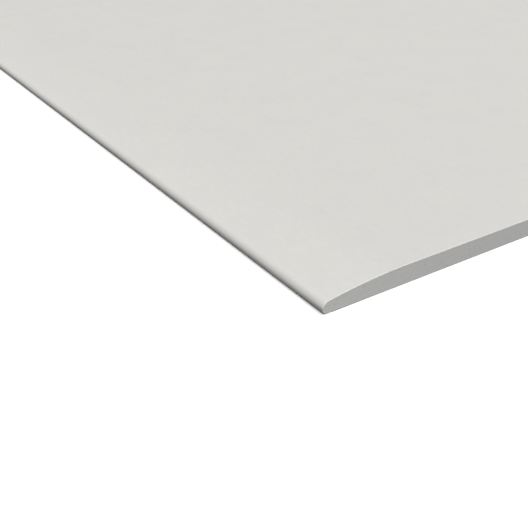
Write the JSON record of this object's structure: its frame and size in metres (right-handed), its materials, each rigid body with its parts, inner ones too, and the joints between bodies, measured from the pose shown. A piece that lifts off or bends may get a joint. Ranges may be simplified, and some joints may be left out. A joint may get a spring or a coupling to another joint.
{
  "type": "drywall sheet",
  "caption": "Flat plasterboard sheet with half-round tapered long edges, ivory face paper folded onto the back, a brown back liner and bare gypsum at the square-cut ends.",
  "frame": {"origin": "middle of the sheet on the outer surface of the back liner, the plane that it lies on", "axes": "+X across the width, +Y along the length, +Z out of the face"},
  "size_m": [1.2, 2.4, 0.0125],
  "materials": {
    "gypsum": "matte",
    "face_paper": "matte",
    "back_liner": "matte"
  },
  "bodies": {
    "root": {"gypsum_core": "gypsum", "face_paper": "face_paper", "back_liner": "back_liner"}
  },
  "joints": []
}
